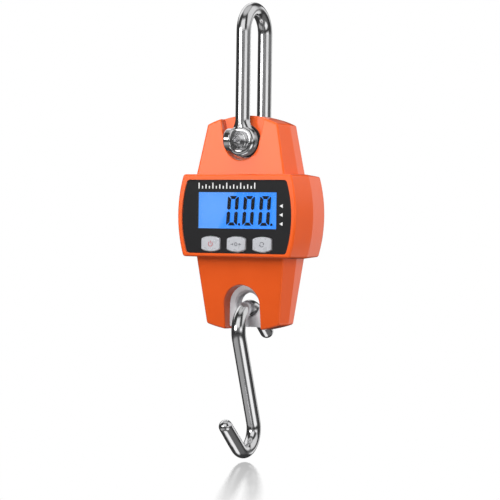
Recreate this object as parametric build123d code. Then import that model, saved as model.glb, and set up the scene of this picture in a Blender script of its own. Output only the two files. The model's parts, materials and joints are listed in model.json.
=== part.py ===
from build123d import *

import math
import os

# A small hanging crane scale, in millimetres. X is to the right, the display faces -Y and Z is up.
# The shapes are drawn about the middle of the display box, with y = 0 midway between the
# shackle's legs. Everything is written out with the origin at the shackle's crown, on the
# inside of the bow, where the scale hangs from whatever holds it.

# For making solids: a distance well outside the casing, how far a cut runs past the face that it
# opens, how deep one solid is sunk into another that it is fused with, and how near is the same
FAR = 60.0
CUT_PAST = 1.0
LAP = 1.0
SAME = 0.01

# Shackle: a long bow of round rod with forged eyes and a screw pin along Y
ROD_R = 4.5
LEG_Y = 14.7
CROWN_Z = 125.3
PIN_Z = 46.9
PIN_R = 5.0
EYE_R = 9.7
EYE_WIDTH = 9.0
EYE_ROUND = 2.8
EYE_BORE_R = 5.05
NECK_SECTIONS = ((3.0, 8.3, 4.2), (6.5, 7.0, 4.3), (9.5, 5.5, 4.4), (14.0, ROD_R, ROD_R))

COLLAR_R = 6.2
COLLAR_LENGTH = 2.9
STEM_R = 4.0
TAB_R = 7.0
TAB_THICKNESS = 5.0
TAB_TIP_Y = -36.5
TAB_ROUND = 1.1
TAB_HOLE_R = 2.0
TAB_HOLE_SHIFT = 1.2
COLLAR_ROUND = 0.9
PIN_PLAY = 0.1
PIN_END_Y = 20.8
PIN_CHAMFER = 0.8

# Casing: two die-cast halves that meet at PART_Y, each with draft away from that plane
PART_Y = 1.5
WALL = 2.2
FRONT_DRAFT = 1.2
REAR_DRAFT = 3.0

BOX_TOP = 26.4
BOX_BOTTOM = -26.0
BOX_HALF_TOP = 37.9
BOX_HALF_MID = 41.8
BOX_HALF_BOTTOM = 37.6
BOX_CORNER_R = 2.4
BOX_FRONT_Y = -22.2
BOX_REAR_Y = 21.5

UPPER_TOP = 57.4
UPPER_RIDGE = 63.1
UPPER_HALF_BASE = 31.1
UPPER_HALF_TOP = 24.8
LOWER_BOTTOM = -67.6
LOWER_KEEL = -72.0
LOWER_HALF_BASE = 30.8
LOWER_HALF_BOTTOM = 25.7
TRAPEZOID_CORNER_R = 2.2
NECK_REACH = 30.0

# How far each face stands from y = 0, as (distance, z) at two heights
UPPER_FRONT_LINE = ((17.4, 26.8), (15.3, 57.2))
LOWER_FRONT_LINE = ((11.4, -67.4), (16.8, -26.0))
UPPER_REAR_LINE = ((13.0, 26.8), (12.4, 57.2))
LOWER_REAR_LINE = ((9.5, -67.4), (14.2, -26.0))

FRONT_EDGE_R = 1.2
BOX_REAR_EDGE_R = 2.4
NECK_REAR_EDGE_R = 1.3
POCKET_RIM_R = 0.7

# Pockets for the shackle's eyes, and arches for the hook
POCKET_R = 12.1
POCKET_LEAN = 11.0
POCKET_FLOOR = 9.5
POCKET_HOLE_R = 10.4
LINER = 2.0
ARCH_HALF = 12.4
OPENING_REACH = 10.0
HOOK_HOLE_Z = -55.3

# Load cell: one flat bar from the pin down to the hook, a little forward of y = 0
CELL_FRONT_Y = -4.5
CELL_REAR_Y = 3.5
CELL_HALF = 13.0
CELL_TOP = 57.0
CELL_BOTTOM = -69.3
CELL_CORNER_R = 1.5
CELL_BORE_R = 5.06
CELL_GAP = 0.3
HOOK_HOLE_R = 7.5
HOOK_HOLE_ROUND = 2.0
SLOT_HEIGHT = 2.4
SLOT_REACH = 7.0
UPPER_SLOT_Z = 14.0
LOWER_SLOT_Z = -20.0
WINDOW_Z = -3.0
WINDOW_HALF = 8.0
WINDOW_HEIGHT = 10.0
WINDOW_CORNER_R = 2.0
GAUGE_X = 3.5
GAUGE_LENGTH = 4.0
GAUGE_DEPTH = 4.0
GAUGE_THICKNESS = 0.4
POTTING_INSET = 0.4
SPACER_R = 10.2
SPACER_END = 9.9
SPACER_CHAMFER = 0.5

# Hook: an S of the same rod in the plane x = 0, drawn from its two arcs
HOOK_TOP_CENTRE = (-2.0, -71.4)
HOOK_TOP_R = 14.5
HOOK_LOW_CENTRE = (-7.0, -134.1)
HOOK_LOW_R = 13.0
HOOK_TURN = 152.0
HOOK_TOP_TIP = 19.5
HOOK_LOW_TIP = 21.7
HOOK_TAPER_LENGTH = 15.0
HOOK_END_R = 4.3

# Face panel, display and keys
PANEL_FRONT_Y = -21.2
PANEL_THICKNESS = 1.5
PANEL_TOP = 22.4
PANEL_BOTTOM = -23.2
PANEL_HALF_TOP = 34.5
PANEL_HALF_MID = 38.2
PANEL_HALF_BOTTOM = 34.6
PANEL_CORNER_R = 2.4
PANEL_EDGE_R = 0.25
PANEL_GAP = 0.1
LEDGE_BACK_Y = -17.7
LEDGE_HALF = 29.4
LEDGE_TOP = 18.2
LEDGE_BOTTOM = -22.9

LCD_HALF = 27.5
LCD_TOP = 14.75
LCD_BOTTOM = -7.8
LCD_MARGIN = 1.2
LCD_TERMINAL = 2.2
LCD_SHEET = 1.0
LCD_GAP = 0.05
LENS_THICKNESS = 1.0
LENS_RECESS = 0.2
LENS_GAP = 0.1
LIGHT_THICKNESS = 2.8
HOLDER_WALL = 0.55
CONNECTOR_HALF = 26.0
CONNECTOR_HEIGHT = 1.8

KEY_NAMES = ("key_power", "key_tare", "key_unit")
KEY_PITCH = 17.94
KEY_X = 0.3
KEY_Z = -17.5
KEY_WIDTH = 13.2
KEY_HEIGHT = 9.6
KEY_SIDE = 6.6
KEY_FRONT_Y = -22.2
KEY_BACK_Y = -18.2
KEY_FLANGE = 0.9
KEY_FLANGE_DEPTH = 1.0
KEY_GAP = 0.3
KEY_ROUND = 0.6
KEY_CORNER_R = 0.9
KEY_TRAVEL = 0.8
KEY_STOP_GAP = 0.1

# Circuit board and what is on it
PCB_HALF = 34.2
PCB_TOP = 19.4
PCB_BOTTOM = -22.4
PCB_FRONT_Y = -14.2
PCB_BACK_Y = -12.6
PCB_CORNER_R = 1.5
PCB_SCREW_X = 31.8
PCB_SCREW_Z = (-12.0, 14.5)
PCB_BOSS_R = 2.3
SWITCH_SIDE = 6.0
SWITCH_HEIGHT = 2.6
SWITCH_BASE = 0.2
PLUNGER_R = 1.6
PLUNGER_GAP = 0.3
CHIP_SIZES = (
    (-16.0, 8.0, 12.0, 12.0, 1.6),
    (-17.0, -10.0, 7.0, 6.0, 1.5),
    (13.0, -11.0, 8.0, 5.0, 1.7),
)
CAPACITOR_PLACES = ((-24.0, -8.0), (-27.0, 3.0), (25.0, -11.0))
CAPACITOR_R = 2.0
CAPACITOR_HEIGHT = 4.2
CRYSTAL_PLACE = (-3.0, 15.0)
CRYSTAL_SIZE = (10.0, 3.4, 4.0)
CRYSTAL_END_R = 1.9
CRYSTAL_ROUND = 0.5

# Batteries behind the load cell: three AAA cells side by side, lying along X
AAA_COUNT = 3
AAA_LENGTH = 43.3
AAA_R = 5.1
AAA_ROUND = 0.6
AAA_TIP_LENGTH = 1.0
AAA_TIP_R = 1.9
AAA_PITCH = 11.3
AAA_Y = 13.3
TRAY_HALF = 26.6
TRAY_HEIGHT_HALF = 18.3
TRAY_FLOOR_Y = 6.6
TRAY_RIM_Y = 19.3
TRAY_WALL = 1.2
TRAY_GAP = 0.2
TRAY_TAB_HALF = 33.0
TRAY_TAB_Y = (16.2, 17.4)
TRAY_SCREW_X = 30.0
TRAY_SCREW_Z = 12.0
TRAY_SCREW_DEPTH = 1.1
PAD_Y = 17.5
PAD_HALF = 36.0
PAD_HEIGHT_HALF = 21.5
CONTACT_THICKNESS = 0.5
CONTACT_SIDE = 8.0
CONTACT_GAP = 0.2
LEAF_THICKNESS = 0.35
LEAF_WIDTH = 6.0
LEAF_HALF_SPAN = 4.0
LEAF_CREST_HALF = 0.6
LEAF_BASE_WIDTH = 9.4

DOOR_HALF = 33.0
DOOR_HEIGHT_HALF = 18.5
DOOR_SEAT_Y = 19.5
DOOR_REAR_Y = 21.4
DOOR_CORNER_R = 3.0
DOOR_EDGE_R = 0.5
DOOR_GAP = 0.3
DOOR_SEAT_GAP = 0.1
DOOR_SCREW_X = 30.0
DOOR_SCREW_TIP_Y = 17.0
DOOR_SCREW_NOTCH = 6.0
GRIP_COUNT = 5
GRIP_PITCH = 2.6
GRIP_START = 5.0
GRIP_SIZE = (1.0, 1.2, 16.0)

# Screws
CASE_SCREW_X = 21.0
CASE_SCREW_Z = (33.5, -41.0)
CASE_BOSS_R = 4.2
CASE_HEAD_Y = 10.2
CASE_SCREW_TIP_Y = -8.0
CELL_SCREW_X = 9.0
CELL_SCREW_Z = 28.5
CELL_SCREW_TIP_Y = -12.0
SEAT_R = 3.2
M3_R = 1.45
M3_HOLE_R = 1.5
M3_CLEAR_R = 1.75
M2_R = 0.95
M2_HOLE_R = 1.0
M2_CLEAR_R = 1.15
M3_HEAD = (2.8, 1.8)
M2_HEAD = (1.9, 1.3)
DOOR_SCREW_HEAD = (2.8, 1.2)
COUNTERBORE_R = 3.3
TIP_ROOM = 0.5

# Screw heads, as shares of the head's height and radius
HEAD_ROUND = 0.35
CROSS_SPAN = 1.1
CROSS_WIDTH = 0.28
CROSS_DEPTH = 0.9

# Leads inside the casing
LEAD_R = 0.7
LEAD_BEND_R = 3.5
LEAD_RUN = 5.0
LEAD_X = (19.0, 22.0)
LEAD_Z = (9.0, 3.0)
CABLE_R = 1.1
CABLE_BEND_R = 1.6
SOCKET_DEPTH = 3.4
SOCKET_HEIGHT = 4.5
GAUGE_SOCKET_Z = 5.0
GAUGE_SOCKET_WIDTH = 8.0
BATTERY_SOCKET_WIDTH = 7.5


# ---------------------------------------------------------------- small helpers


def slab(sketch, y_from, y_to):
    """A sketch drawn in X and Z, as a plate from y_from (nearer the front) to y_to."""
    return extrude(Plane.XZ.offset(-y_to) * sketch, amount=y_to - y_from)


def plate(half_width, z_low, z_high, y_from, y_to, corner=0.0):
    """A rectangular plate about x = 0, with rounded corners if asked."""
    size = (2 * half_width, z_high - z_low)
    shape = RectangleRounded(*size, corner) if corner else Rectangle(*size)
    return slab(Pos(0, (z_low + z_high) / 2) * shape, y_from, y_to)


def rod_y(radius, y_from, y_to, x=0.0, z=0.0):
    """A round bar along Y."""
    return slab(Pos(x, z) * Circle(radius), y_from, y_to)


def block(width, depth, height, x, y, z):
    """A box given by its size and its centre."""
    return Pos(x, y, z) * Box(width, depth, height)


def fuse(shapes):
    """All the shapes joined into one."""
    joined = shapes[0]
    for shape in shapes[1:]:
        joined = joined + shape
    return joined


def screw(radius, head_size, y_head, y_tip, x, z):
    """A cross-head screw along Y whose head stands on the side of y_head away from y_tip."""
    head_r, head_height = head_size
    outward = math.copysign(1.0, y_head - y_tip)
    y_top = y_head + outward * head_height
    shank = rod_y(radius, min(y_head, y_tip), max(y_head, y_tip), x, z)
    head = rod_y(head_r, min(y_head, y_top), max(y_head, y_top), x, z)
    crown = head.faces().sort_by(Axis.Y)[-1 if outward > 0 else 0]
    head = fillet(crown.edges(), head_height * HEAD_ROUND)
    arm = head_r * CROSS_SPAN
    slot = head_r * CROSS_WIDTH
    depth = head_height * CROSS_DEPTH
    cross = block(arm, depth, slot, x, y_top, z) + block(slot, depth, arm, x, y_top, z)
    return shank + head - cross


def tube(points, bend_radii, radius):
    """A round lead along straight runs joined by tangent arcs."""
    path = FilletPolyline(*points, radius=bend_radii)
    start = Plane(origin=path @ 0, z_dir=path % 0)
    return sweep(start * Circle(radius), path=path)


# ---------------------------------------------------------------- outlines in X and Z


def barrel(half_top, half_mid, half_bottom, top, bottom, corner, inset=0.0):
    """An upright box whose two sides bow outwards."""
    middle = (top + bottom) / 2
    edges = Polyline((-half_top, top), (half_top, top))
    edges += ThreePointArc((half_top, top), (half_mid, middle), (half_bottom, bottom))
    edges += Polyline((half_bottom, bottom), (-half_bottom, bottom))
    edges += ThreePointArc((-half_bottom, bottom), (-half_mid, middle), (-half_top, top))
    face = make_face(edges)
    if inset:
        face = offset(face, amount=-inset, kind=Kind.INTERSECTION)
    return fillet(face.vertices(), corner)


def box_outline(inset=0.0):
    """The display box where the casing halves meet."""
    return barrel(BOX_HALF_TOP, BOX_HALF_MID, BOX_HALF_BOTTOM, BOX_TOP, BOX_BOTTOM, BOX_CORNER_R, inset)


def trapezoid(half_base, half_end, z_base, z_end, z_peak, inset):
    """A tapering neck of the casing from the box (z = 0 side) to its arched end."""
    slope = (half_base - half_end) / (z_base - z_end)
    half_middle = half_base - slope * z_base
    edges = Polyline((half_end, z_end), (half_middle, 0), (-half_middle, 0), (-half_end, z_end))
    edges += ThreePointArc((-half_end, z_end), (0, z_peak), (half_end, z_end))
    face = make_face(edges)
    if inset:
        face = offset(face, amount=-inset, kind=Kind.INTERSECTION)
    ends = [v for v in face.vertices() if abs(v.Y) > abs(z_end) / 2]
    return fillet(ends, TRAPEZOID_CORNER_R)


def upper_outline(inset=0.0):
    """The neck above the display box."""
    return trapezoid(UPPER_HALF_BASE, UPPER_HALF_TOP, BOX_TOP, UPPER_TOP, UPPER_RIDGE, inset)


def lower_outline(inset=0.0):
    """The neck below the display box."""
    return trapezoid(LOWER_HALF_BASE, LOWER_HALF_BOTTOM, BOX_BOTTOM, LOWER_BOTTOM, LOWER_KEEL, inset)


def pocket_outline(grow=0.0):
    """The U around a shackle eye, open at the top, with walls that lean apart."""
    radius = POCKET_R + grow
    lean = math.radians(POCKET_LEAN)
    side = radius * math.cos(lean)
    low = PIN_Z - radius * math.sin(lean)
    high = UPPER_RIDGE + OPENING_REACH
    reach = side + (high - low) * math.tan(lean)
    edges = Polyline((side, low), (reach, high), (-reach, high), (-side, low))
    edges += ThreePointArc((-side, low), (0, PIN_Z - radius), (side, low))
    return make_face(edges)


def arch_outline(grow=0.0):
    """The arch over the hook, open at the bottom."""
    half = ARCH_HALF + grow
    low = LOWER_KEEL - OPENING_REACH
    edges = Polyline((-half, HOOK_HOLE_Z), (-half, low), (half, low), (half, HOOK_HOLE_Z))
    edges += ThreePointArc((half, HOOK_HOLE_Z), (0, HOOK_HOLE_Z + half), (-half, HOOK_HOLE_Z))
    return make_face(edges)


def key_outline(x, grow=0.0):
    """A key: straight sides, and a top and bottom that bow outwards."""
    half = KEY_WIDTH / 2 + grow
    side = KEY_SIDE / 2 + grow
    tall = KEY_HEIGHT / 2 + grow
    edges = Polyline((-half, side), (-half, -side))
    edges += ThreePointArc((-half, -side), (0, -tall), (half, -side))
    edges += Polyline((half, -side), (half, side))
    edges += ThreePointArc((half, side), (0, tall), (-half, side))
    face = make_face(edges)
    return Pos(x, KEY_Z) * fillet(face.vertices(), KEY_CORNER_R)


def key_places():
    """The x position of each key, left to right."""
    return [KEY_X + KEY_PITCH * step for step in (-1, 0, 1)]


# ---------------------------------------------------------------- casing


def beyond(line, wall):
    """Everything in front of a sloping face, given by two (distance, z) points, less a wall."""
    (near, z_low), (far, z_high) = line
    slope = math.hypot(z_high - z_low, far - near)
    normal = Vector(0, -(z_high - z_low) / slope, -(far - near) / slope)
    plane = Plane(origin=Vector(0, -near, z_low) - normal * wall, x_dir=(1, 0, 0), z_dir=normal)
    return plane * Pos(0, 0, FAR) * Box(6 * FAR, 6 * FAR, 2 * FAR)


def neck_half(outline, part_y, draft, line, wall=0.0, edge_r=0.0):
    """One neck of one casing half, from the parting plane towards -Y."""
    solid = extrude(Plane.XZ.offset(-part_y) * outline, amount=NECK_REACH, taper=draft) - beyond(line, wall)
    if edge_r:
        front = solid.faces().sort_by(Axis.Y)[0]
        inner = front.edges().sort_by(Axis.Z)
        keep = inner[1:] if abs(inner[0].center().Z) < abs(inner[-1].center().Z) else inner[:-1]
        solid = fillet(keep, edge_r)
    return solid


def box_half(outline, part_y, draft, reach, edge_r=0.0):
    """The display box of one casing half, from the parting plane towards -Y."""
    solid = extrude(Plane.XZ.offset(-part_y) * outline, amount=reach, taper=draft)
    if edge_r:
        solid = fillet(solid.faces().sort_by(Axis.Y)[0].edges(), edge_r)
    return solid


def casing_half(part_y, draft, box_depth, cavity_depth, upper_line, lower_line, box_edge_r, neck_edge_r):
    """The outside and the cavity of one half, drawn facing -Y."""
    outside = fuse([
        box_half(box_outline(), part_y, draft, box_depth + part_y, box_edge_r),
        neck_half(upper_outline(), part_y, draft, upper_line, edge_r=neck_edge_r),
        neck_half(lower_outline(), part_y, draft, lower_line, edge_r=neck_edge_r),
    ])
    cavity = fuse([
        box_half(box_outline(WALL), part_y, draft, cavity_depth + part_y),
        neck_half(upper_outline(WALL), part_y, draft, upper_line, wall=WALL),
        neck_half(lower_outline(WALL), part_y, draft, lower_line, wall=WALL),
    ])
    return outside, cavity


def opened(outside, lines):
    """Cut the shackle pocket and the hook arch into a half that faces -Y, with rounded rims."""
    solid = outside - slab(pocket_outline(), -FAR, -POCKET_FLOOR)
    solid -= slab(arch_outline(), -FAR, FAR)
    rims = []
    for edge in solid.edges():
        middle = edge.center()
        in_opening = abs(middle.X) < POCKET_R + LINER and abs(middle.Z) > BOX_TOP + LINER
        if in_opening and any(on_sloping_face(middle, line) for line in lines):
            rims.append(edge)
    return fillet(rims, POCKET_RIM_R)


def on_sloping_face(point, line):
    """Whether a point lies on the face through two (distance, z) points."""
    (near, z_low), (far, z_high) = line
    face_y = -near - (far - near) * (point.Z - z_low) / (z_high - z_low)
    return abs(point.Y - face_y) < SAME


def hollowed(solid, cavity, cell_y):
    """Hollow a half that faces -Y, but for the walls round its pocket and its arch."""
    cavity -= slab(pocket_outline(LINER), -FAR, -POCKET_FLOOR + LINER)
    cavity -= slab(arch_outline(LINER), -FAR, cell_y)
    return solid - cavity - rod_y(POCKET_HOLE_R, -POCKET_FLOOR - CUT_PAST, 0, z=PIN_Z)


def cell_room():
    """The space that the load cell's lower end needs through the casing's floor."""
    half = CELL_HALF + CELL_GAP
    low = CELL_BOTTOM - OPENING_REACH
    return plate(half, low, HOOK_HOLE_Z, CELL_FRONT_Y - CELL_GAP, CELL_REAR_Y + CELL_GAP)


def front_shell():
    outside, cavity = casing_half(
        PART_Y, FRONT_DRAFT, -BOX_FRONT_Y, -LEDGE_BACK_Y,
        UPPER_FRONT_LINE, LOWER_FRONT_LINE, FRONT_EDGE_R, FRONT_EDGE_R,
    )
    solid = opened(outside, (UPPER_FRONT_LINE, LOWER_FRONT_LINE))
    solid = hollowed(solid, cavity, CELL_FRONT_Y - CELL_GAP)
    for x in (-CELL_SCREW_X, CELL_SCREW_X):
        solid += rod_y(SEAT_R, -FAR, CELL_FRONT_Y, x, CELL_SCREW_Z) & outside
        solid -= rod_y(M3_HOLE_R, CELL_SCREW_TIP_Y - TIP_ROOM, CELL_FRONT_Y, x, CELL_SCREW_Z)
    for x in (-CASE_SCREW_X, CASE_SCREW_X):
        for z in CASE_SCREW_Z:
            solid += rod_y(CASE_BOSS_R, -FAR, PART_Y, x, z) & outside
            solid -= rod_y(M3_HOLE_R, CASE_SCREW_TIP_Y - TIP_ROOM, PART_Y, x, z)
    for x in (-PCB_SCREW_X, PCB_SCREW_X):
        for z in PCB_SCREW_Z:
            solid += rod_y(PCB_BOSS_R, LEDGE_BACK_Y - LAP, PCB_FRONT_Y, x, z)
            solid -= rod_y(M2_HOLE_R, LEDGE_BACK_Y - TIP_ROOM, PCB_FRONT_Y, x, z)
    solid -= slab(panel_outline(PANEL_GAP), -FAR, PANEL_FRONT_Y + PANEL_THICKNESS)
    solid -= plate(LEDGE_HALF, LEDGE_BOTTOM, LEDGE_TOP, -FAR, LEDGE_BACK_Y)
    return solid - cell_room()


def rear_shell():
    outside, cavity = casing_half(
        -PART_Y, REAR_DRAFT, BOX_REAR_Y, BOX_REAR_Y - WALL,
        UPPER_REAR_LINE, LOWER_REAR_LINE, BOX_REAR_EDGE_R, NECK_REAR_EDGE_R,
    )
    solid = opened(outside, (UPPER_REAR_LINE, LOWER_REAR_LINE))
    solid = hollowed(solid, cavity, -CELL_REAR_Y - CELL_GAP)
    for x in (-CASE_SCREW_X, CASE_SCREW_X):
        for z in CASE_SCREW_Z:
            solid += rod_y(CASE_BOSS_R, -FAR, -PART_Y, x, z) & outside
            solid -= rod_y(M3_CLEAR_R, -FAR, -PART_Y, x, z)
            solid -= rod_y(COUNTERBORE_R, -FAR, -CASE_HEAD_Y, x, z)
    solid = mirror(solid, about=Plane.XZ)
    solid += plate(PAD_HALF, -PAD_HEIGHT_HALF, PAD_HEIGHT_HALF, PAD_Y, BOX_REAR_Y - LAP)
    tray_high = TRAY_HEIGHT_HALF + TRAY_GAP
    solid -= plate(TRAY_HALF + TRAY_GAP, -tray_high, tray_high, PAD_Y - CUT_PAST, FAR)
    door_hole = RectangleRounded(
        2 * (DOOR_HALF + DOOR_GAP), 2 * (DOOR_HEIGHT_HALF + DOOR_GAP), DOOR_CORNER_R + DOOR_GAP
    )
    solid -= slab(door_hole, DOOR_SEAT_Y, FAR)
    solid -= rod_y(M3_HOLE_R, PAD_Y - CUT_PAST, FAR, DOOR_SCREW_X)
    hole_end = PAD_Y + TRAY_SCREW_DEPTH + TIP_ROOM
    for x in (-TRAY_SCREW_X, TRAY_SCREW_X):
        for z in (-TRAY_SCREW_Z, TRAY_SCREW_Z):
            solid -= rod_y(M2_HOLE_R, PAD_Y - CUT_PAST, hole_end, x, z)
    return solid - cell_room()


def case_screws():
    return Compound([
        screw(M3_R, M3_HEAD, CASE_HEAD_Y, CASE_SCREW_TIP_Y, x, z)
        for x in (-CASE_SCREW_X, CASE_SCREW_X)
        for z in CASE_SCREW_Z
    ])


# ---------------------------------------------------------------- shackle


def shackle():
    leg_top = CROWN_Z + ROD_R - LEG_Y
    bow = Pos(0, 0, leg_top) * Rot(0, 90, 0) * Torus(LEG_Y, ROD_R)
    bow &= block(2 * FAR, 2 * FAR, 2 * FAR, 0, 0, leg_top + FAR)
    solid = bow
    for side in (-1, 1):
        y = side * LEG_Y
        neck_top = PIN_Z + NECK_SECTIONS[-1][0]
        length = leg_top - neck_top
        leg = Pos(0, y, neck_top + length / 2) * Cylinder(ROD_R, length)
        neck = loft([
            Pos(0, y, PIN_Z + height) * Ellipse(half_x, half_y)
            for height, half_x, half_y in NECK_SECTIONS
        ])
        eye = rod_y(EYE_R, y - EYE_WIDTH / 2, y + EYE_WIDTH / 2, z=PIN_Z)
        eye = fillet(eye.edges().filter_by(GeomType.CIRCLE), EYE_ROUND)
        solid = solid + leg + neck + eye
    return solid - rod_y(EYE_BORE_R, -FAR, FAR, z=PIN_Z)


def shackle_pin():
    collar_back = -LEG_Y - EYE_WIDTH / 2 - PIN_PLAY
    collar_front = collar_back - COLLAR_LENGTH
    tab_y = TAB_TIP_Y + TAB_R
    shank = rod_y(PIN_R, collar_back - LAP, PIN_END_Y, z=PIN_Z)
    shank = chamfer(shank.faces().sort_by(Axis.Y)[-1].edges(), PIN_CHAMFER)
    collar = rod_y(COLLAR_R, collar_front, collar_back, z=PIN_Z)
    collar = fillet(collar.edges().filter_by(GeomType.CIRCLE), COLLAR_ROUND)
    stem = rod_y(STEM_R, tab_y, collar_front + LAP, z=PIN_Z)
    tab = Pos(0, tab_y, PIN_Z) * Rot(0, 90, 0) * Cylinder(TAB_R, TAB_THICKNESS)
    tab = fillet(tab.edges().filter_by(GeomType.CIRCLE), TAB_ROUND)
    hole_y = tab_y - TAB_HOLE_SHIFT
    eyelet = Pos(0, hole_y, PIN_Z) * Rot(0, 90, 0) * Cylinder(TAB_HOLE_R, 2 * TAB_THICKNESS)
    return shank + collar + stem + tab - eyelet


# ---------------------------------------------------------------- load cell


def load_cell():
    bar = plate(CELL_HALF, CELL_BOTTOM, CELL_TOP, CELL_FRONT_Y, CELL_REAR_Y)
    bar = fillet(bar.edges().filter_by(Axis.Y), CELL_CORNER_R)
    bar -= rod_y(CELL_BORE_R, -FAR, FAR, z=PIN_Z)
    bar -= rod_y(HOOK_HOLE_R, -FAR, FAR, z=HOOK_HOLE_Z)
    rim = [e for e in bar.edges().filter_by(GeomType.CIRCLE) if abs(e.radius - HOOK_HOLE_R) < SAME]
    bar = fillet(rim, HOOK_HOLE_ROUND)
    slot_length = CELL_HALF + SLOT_REACH + CUT_PAST
    shift = (slot_length / 2) - SLOT_REACH
    bar -= block(slot_length, FAR, SLOT_HEIGHT, -shift, 0, UPPER_SLOT_Z)
    bar -= block(slot_length, FAR, SLOT_HEIGHT, shift, 0, LOWER_SLOT_Z)
    bar -= gauge_window(CELL_FRONT_Y - CUT_PAST, CELL_REAR_Y + CUT_PAST)
    for x in (-CELL_SCREW_X, CELL_SCREW_X):
        bar -= rod_y(M3_CLEAR_R, -FAR, FAR, x, CELL_SCREW_Z)
    return bar


def gauge_window(y_from, y_to):
    """The window in the bar where the strain gauges sit."""
    low = WINDOW_Z - WINDOW_HEIGHT / 2
    return plate(WINDOW_HALF, low, low + WINDOW_HEIGHT, y_from, y_to, corner=WINDOW_CORNER_R)


def strain_gauges():
    reach = (WINDOW_HEIGHT - GAUGE_THICKNESS) / 2
    middle_y = (CELL_FRONT_Y + CELL_REAR_Y) / 2
    return Compound([
        block(GAUGE_LENGTH, GAUGE_DEPTH, GAUGE_THICKNESS, x, middle_y, WINDOW_Z + z)
        for x in (-GAUGE_X, GAUGE_X)
        for z in (-reach, reach)
    ])


def gauge_potting():
    solid = gauge_window(CELL_FRONT_Y + POTTING_INSET, CELL_REAR_Y - POTTING_INSET)
    for gauge in strain_gauges().solids():
        solid -= gauge
    return solid


def gauge_cable():
    start_y = CELL_FRONT_Y + POTTING_INSET
    end_y = PCB_BACK_Y + SOCKET_DEPTH
    middle_y = (start_y + end_y) / 2
    points = (
        (0, start_y, WINDOW_Z),
        (0, middle_y, WINDOW_Z),
        (0, middle_y, GAUGE_SOCKET_Z),
        (0, end_y, GAUGE_SOCKET_Z),
    )
    return tube(points, (CABLE_BEND_R, CABLE_BEND_R), CABLE_R)


def pin_spacer(y_from, y_to):
    ring = rod_y(SPACER_R, y_from, y_to, z=PIN_Z)
    ring = chamfer(ring.edges().filter_by(GeomType.CIRCLE), SPACER_CHAMFER)
    return ring - rod_y(CELL_BORE_R, y_from - CUT_PAST, y_to + CUT_PAST, z=PIN_Z)


def cell_screws():
    return Compound([
        screw(M3_R, M3_HEAD, CELL_REAR_Y, CELL_SCREW_TIP_Y, x, CELL_SCREW_Z)
        for x in (-CELL_SCREW_X, CELL_SCREW_X)
    ])


# ---------------------------------------------------------------- hook


def hook_shank_heading():
    """The direction of the straight between the two arcs, going down, from +Y towards +Z."""
    dy = HOOK_LOW_CENTRE[0] - HOOK_TOP_CENTRE[0]
    dz = HOOK_LOW_CENTRE[1] - HOOK_TOP_CENTRE[1]
    cross = math.asin((HOOK_TOP_R + HOOK_LOW_R) / math.hypot(dy, dz))
    return math.atan2(dz, dy) + cross


def curl(centre, radius, heading, tip_length):
    """One end of the S, as the arc's start, middle and end, the straight's end and its heading."""
    turn = math.radians(HOOK_TURN)

    def on_arc(angle):
        return (0, centre[0] + radius * math.cos(angle), centre[1] + radius * math.sin(angle))

    start = heading + math.pi / 2
    leave = heading - turn
    end = on_arc(start - turn)
    tip = (0, end[1] + tip_length * math.cos(leave), end[2] + tip_length * math.sin(leave))
    return on_arc(start), on_arc(start - turn / 2), end, tip, leave


def hook_tip(point, heading):
    """A tapering end with a round nose, starting at a point and going along a heading."""
    profile = make_face(
        Polyline((0, 0), (ROD_R, 0), (HOOK_END_R, HOOK_TAPER_LENGTH))
        + ThreePointArc(
            (HOOK_END_R, HOOK_TAPER_LENGTH),
            (HOOK_END_R * math.cos(math.pi / 4), HOOK_TAPER_LENGTH + HOOK_END_R * math.sin(math.pi / 4)),
            (0, HOOK_TAPER_LENGTH + HOOK_END_R),
        )
        + Line((0, HOOK_TAPER_LENGTH + HOOK_END_R), (0, 0))
    )
    nose = revolve(Plane.XZ * profile, axis=Axis.Z)
    frame = Plane(origin=point, z_dir=(0, math.cos(heading), math.sin(heading)))
    return frame * nose


def hook():
    down = hook_shank_heading()
    up = down + math.pi
    low = curl(HOOK_LOW_CENTRE, HOOK_LOW_R, down, HOOK_LOW_TIP - HOOK_TAPER_LENGTH)
    top = curl(HOOK_TOP_CENTRE, HOOK_TOP_R, up, HOOK_TOP_TIP - HOOK_TAPER_LENGTH)
    path = Line(top[3], top[2]) + ThreePointArc(top[2], top[1], top[0])
    path += Line(top[0], low[0]) + ThreePointArc(low[0], low[1], low[2]) + Line(low[2], low[3])
    start = Plane(origin=top[3], z_dir=Vector(*top[2]) - Vector(*top[3]))
    rod = sweep(start * Circle(ROD_R), path=path)
    return rod + hook_tip(top[3], top[4]) + hook_tip(low[3], low[4])


# ---------------------------------------------------------------- face panel and display


def panel_outline(grow=0.0):
    return barrel(
        PANEL_HALF_TOP + grow, PANEL_HALF_MID + grow, PANEL_HALF_BOTTOM + grow,
        PANEL_TOP + grow, PANEL_BOTTOM - grow, PANEL_CORNER_R,
    )


def lcd_plate(margin, y_from, y_to, below=0.0):
    """A sheet of the display, larger than its window by a margin."""
    return plate(LCD_HALF + margin, LCD_BOTTOM - margin - below, LCD_TOP + margin, y_from, y_to)


def face_panel():
    solid = slab(panel_outline(), PANEL_FRONT_Y, PANEL_FRONT_Y + PANEL_THICKNESS)
    solid = fillet(solid.faces().sort_by(Axis.Y)[0].edges(), PANEL_EDGE_R)
    solid -= lcd_plate(0, -FAR, 0)
    for x in key_places():
        solid -= slab(key_outline(x, KEY_GAP), -FAR, 0)
    return solid


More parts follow.
